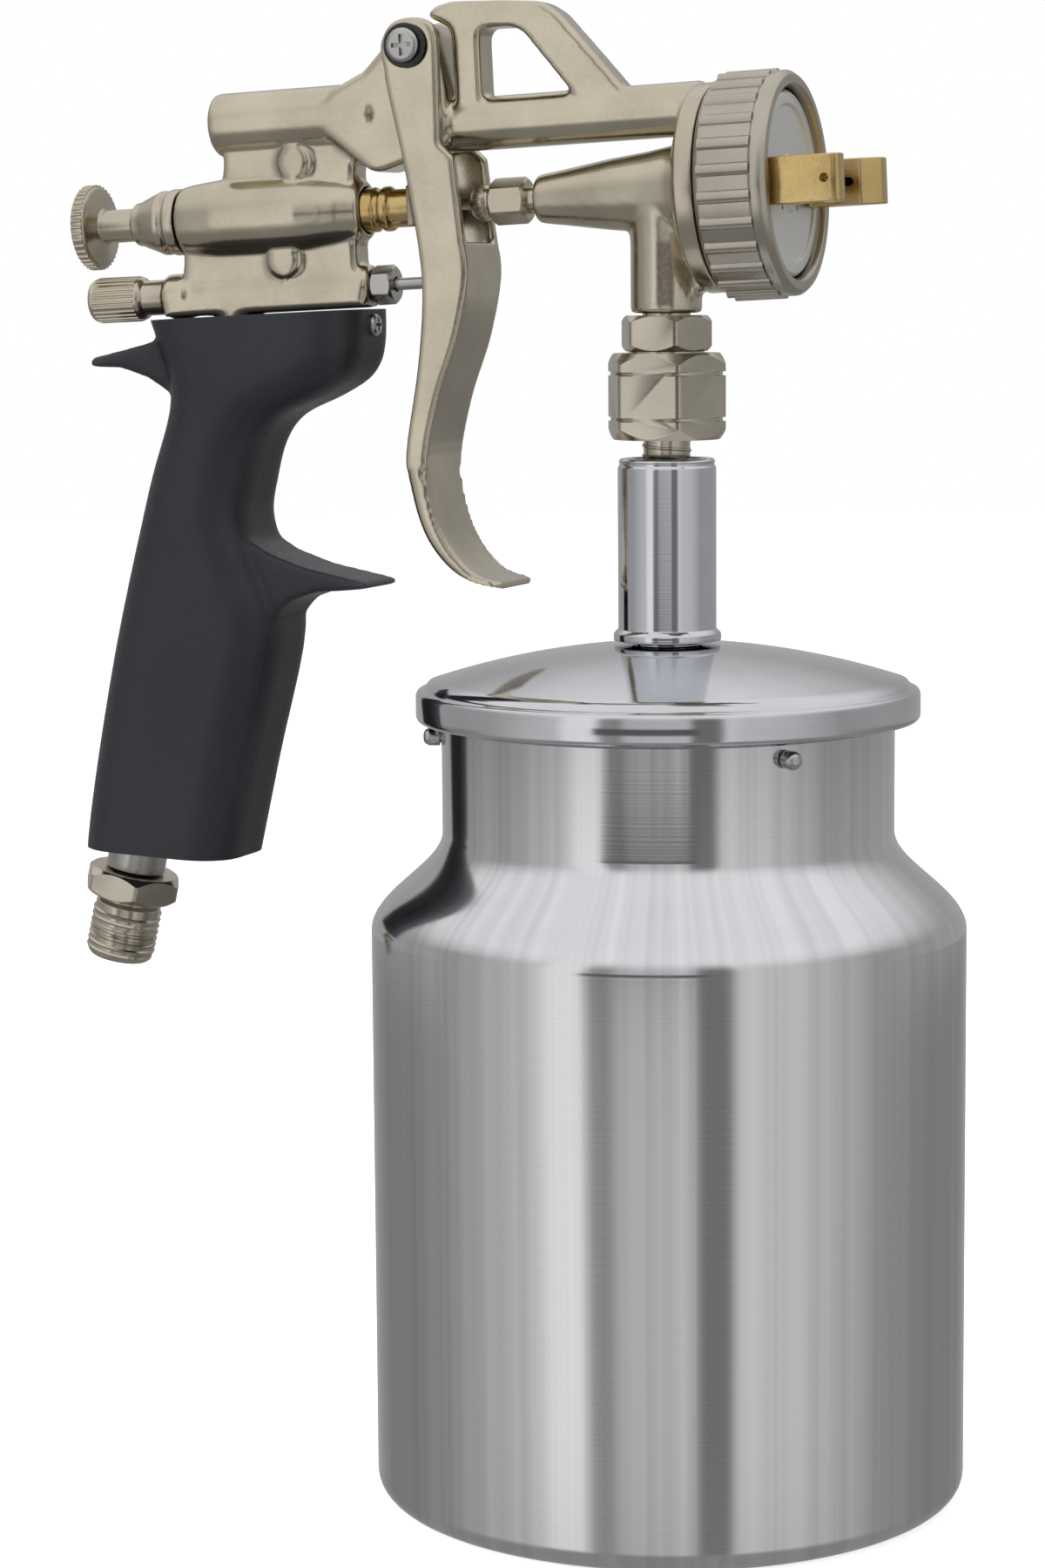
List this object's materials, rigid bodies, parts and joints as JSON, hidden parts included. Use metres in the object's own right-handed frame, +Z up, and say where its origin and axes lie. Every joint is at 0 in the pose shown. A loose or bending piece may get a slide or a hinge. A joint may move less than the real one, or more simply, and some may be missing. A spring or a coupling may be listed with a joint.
{
  "type": "hvlp spray gun",
  "caption": "Suction-feed paint spray gun with a moulded pistol grip, curved trigger, round air cap and a lidded cylindrical cup hung under the barrel.",
  "frame": {"origin": "centre of the cup's flat base, on the surface it stands on", "axes": "+Z up along the cup's axis, +X the way the gun points, +Y to the gun's left"},
  "size_m": [0.1686, 0.1056, 0.2647],
  "materials": {
    "cup_aluminium": "bright spun aluminium with faint turning lines",
    "lid_aluminium": "polished dome with a brushed rim",
    "chrome": "bright chrome plate",
    "nickel": "warm satin nickel plate over a casting",
    "brass": "bright machined brass",
    "steel": "turned stainless steel",
    "black_plastic": "satin moulded plastic",
    "rubber": "matt rubber"
  },
  "bodies": {
    "cup": {"cup_body": "cup_aluminium", "cup_pin_1": "steel", "cup_pin_2": "steel", "cup_pin_3": "steel"},
    "lid": {"lid_shell": "lid_aluminium", "lid_gasket": "rubber", "stem": "chrome", "stem_lock_nut": "steel", "pickup_tube": "steel", "cup_tailpiece": "brass"},
    "union": {"union_nut": "nickel"},
    "gun": {"gun_body": "nickel", "inlet_adapter": "nickel", "air_passage_plug": "steel", "grip": "black_plastic", "grip_screw": "steel", "handle_tube": "steel", "air_inlet_fitting": "nickel", "fluid_nozzle": "steel", "head_gasket": "rubber", "air_distributor": "black_plastic", "needle_packing": "rubber", "packing_nut": "nickel", "spring_housing": "nickel", "air_valve_seal": "rubber", "air_valve_gland": "steel", "trigger_pivot": "steel", "pivot_screw": "steel", "needle_spring": "steel", "air_valve_spring": "steel"},
    "ring": {"retaining_ring": "nickel"},
    "cap": {"air_cap": "nickel", "cap_horn_left": "brass", "cap_horn_right": "brass"},
    "trigger": {"trigger": "nickel", "pivot_bush_left": "black_plastic", "pivot_bush_right": "black_plastic"},
    "needle": {"fluid_needle": "steel", "needle_carrier": "brass"},
    "air_valve": {"air_valve_stem": "steel"},
    "fluid_control": {"fluid_knob": "nickel"},
    "air_control": {"air_adjust_knob": "nickel"}
  },
  "joints": [
    {"name": "lid_lift", "type": "slide", "parent": "cup", "child": "lid", "axis": [0, 0, 1], "range_m": [0, 0.14]},
    {"name": "gun_swivel", "type": "hinge", "parent": "lid", "child": "gun", "pos_m": [0, 0, 0.2], "axis": [0, 0, 1], "continuous": true},
    {"name": "union_turn", "type": "hinge", "parent": "lid", "child": "union", "pos_m": [0, 0, 0.195], "axis": [0, 0, 1], "range_deg": [0, 900]},
    {"name": "trigger_pull", "type": "hinge", "parent": "gun", "child": "trigger", "pos_m": [-0.04517, 0, 0.25695], "axis": [0, 1, 0], "range_deg": [0, 8], "stiffness_Nm_per_rad": 1.5, "springref_deg": -5.73},
    {"name": "needle_travel", "type": "slide", "parent": "gun", "child": "needle", "axis": [-0.999, 0, -0.0436], "range_m": [0, 0.0046], "deforming": ["needle_spring"]},
    {"name": "air_valve_travel", "type": "slide", "parent": "gun", "child": "air_valve", "axis": [-0.999, 0, -0.0436], "range_m": [0, 0.0062], "deforming": ["air_valve_spring"]},
    {"name": "fluid_adjust", "type": "hinge", "parent": "gun", "child": "fluid_control", "pos_m": [-0.11289, 0, 0.22627], "axis": [0.999, 0, 0.0436], "range_deg": [0, 900]},
    {"name": "air_adjust", "type": "hinge", "parent": "gun", "child": "air_control", "pos_m": [-0.11151, 0, 0.21292], "axis": [0.999, 0, 0.0436], "range_deg": [0, 900]},
    {"name": "ring_turn", "type": "hinge", "parent": "gun", "child": "ring", "pos_m": [0.01748, 0, 0.23196], "axis": [0.999, 0, 0.0436], "range_deg": [0, 900]},
    {"name": "cap_turn", "type": "hinge", "parent": "gun", "child": "cap", "pos_m": [0.01748, 0, 0.23196], "axis": [0.999, 0, 0.0436], "range_deg": [0, 90]}
  ],
  "couplings": [
    {"joint": "needle_travel", "follows": "trigger_pull", "m_per_rad": 0.031},
    {"joint": "air_valve_travel", "follows": "trigger_pull", "m_per_rad": 0.0425}
  ]
}
